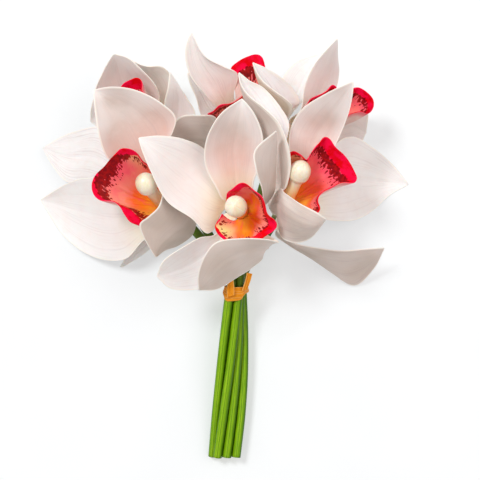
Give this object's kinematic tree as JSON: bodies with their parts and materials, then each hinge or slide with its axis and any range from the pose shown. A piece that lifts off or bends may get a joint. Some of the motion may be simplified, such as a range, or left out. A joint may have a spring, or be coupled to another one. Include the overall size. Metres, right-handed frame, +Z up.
{
  "type": "tied bunch of cymbidium orchid stems",
  "caption": "Tied bunch of short-cut cymbidium orchid stems laid on its back, each with one open white flower, a red lip and a cream column, bound with raffia below the flowers.",
  "frame": {"origin": "on the surface the bunch lies on, under the middle of its bounding box", "axes": "+Y along the bunch from the cut stems to the flowers, +X to the right seen from above, +Z up, the way the flowers face"},
  "size_m": [0.1909, 0.2154, 0.0804],
  "materials": {
    "petal": "soft satin petal, white with a blush, faint veins",
    "lip": "satin petal, crimson margin with dark speckles and an orange throat",
    "column": "waxy cream",
    "stem": "waxy yellow-green with fine lengthwise streaks",
    "raffia": "dry, creased fibre"
  },
  "bodies": {
    "root": {"right_sepal_front": "petal", "right_petal_front": "petal", "dorsal_sepal_front": "petal", "left_petal_front": "petal", "left_sepal_front": "petal", "lip_front": "lip", "column_front": "column", "stem_front": "stem", "right_sepal_right": "petal", "right_petal_right": "petal", "dorsal_sepal_right": "petal", "left_petal_right": "petal", "left_sepal_right": "petal", "lip_right": "lip", "column_right": "column", "stem_right": "stem", "right_sepal_left": "petal", "right_petal_left": "petal", "dorsal_sepal_left": "petal", "left_petal_left": "petal", "left_sepal_left": "petal", "lip_left": "lip", "column_left": "column", "stem_left": "stem", "right_sepal_back_left": "petal", "right_petal_back_left": "petal", "dorsal_sepal_back_left": "petal", "left_petal_back_left": "petal", "left_sepal_back_left": "petal", "lip_back_left": "lip", "column_back_left": "column", "stem_back_left": "stem", "right_sepal_back": "petal", "right_petal_back": "petal", "dorsal_sepal_back": "petal", "left_petal_back": "petal", "left_sepal_back": "petal", "lip_back": "lip", "column_back": "column", "stem_back": "stem", "right_sepal_back_right": "petal", "right_petal_back_right": "petal", "dorsal_sepal_back_right": "petal", "left_petal_back_right": "petal", "left_sepal_back_right": "petal", "lip_back_right": "lip", "column_back_right": "column", "stem_back_right": "stem", "raffia_tie": "raffia", "raffia_loop": "raffia", "raffia_end": "raffia"}
  },
  "joints": []
}
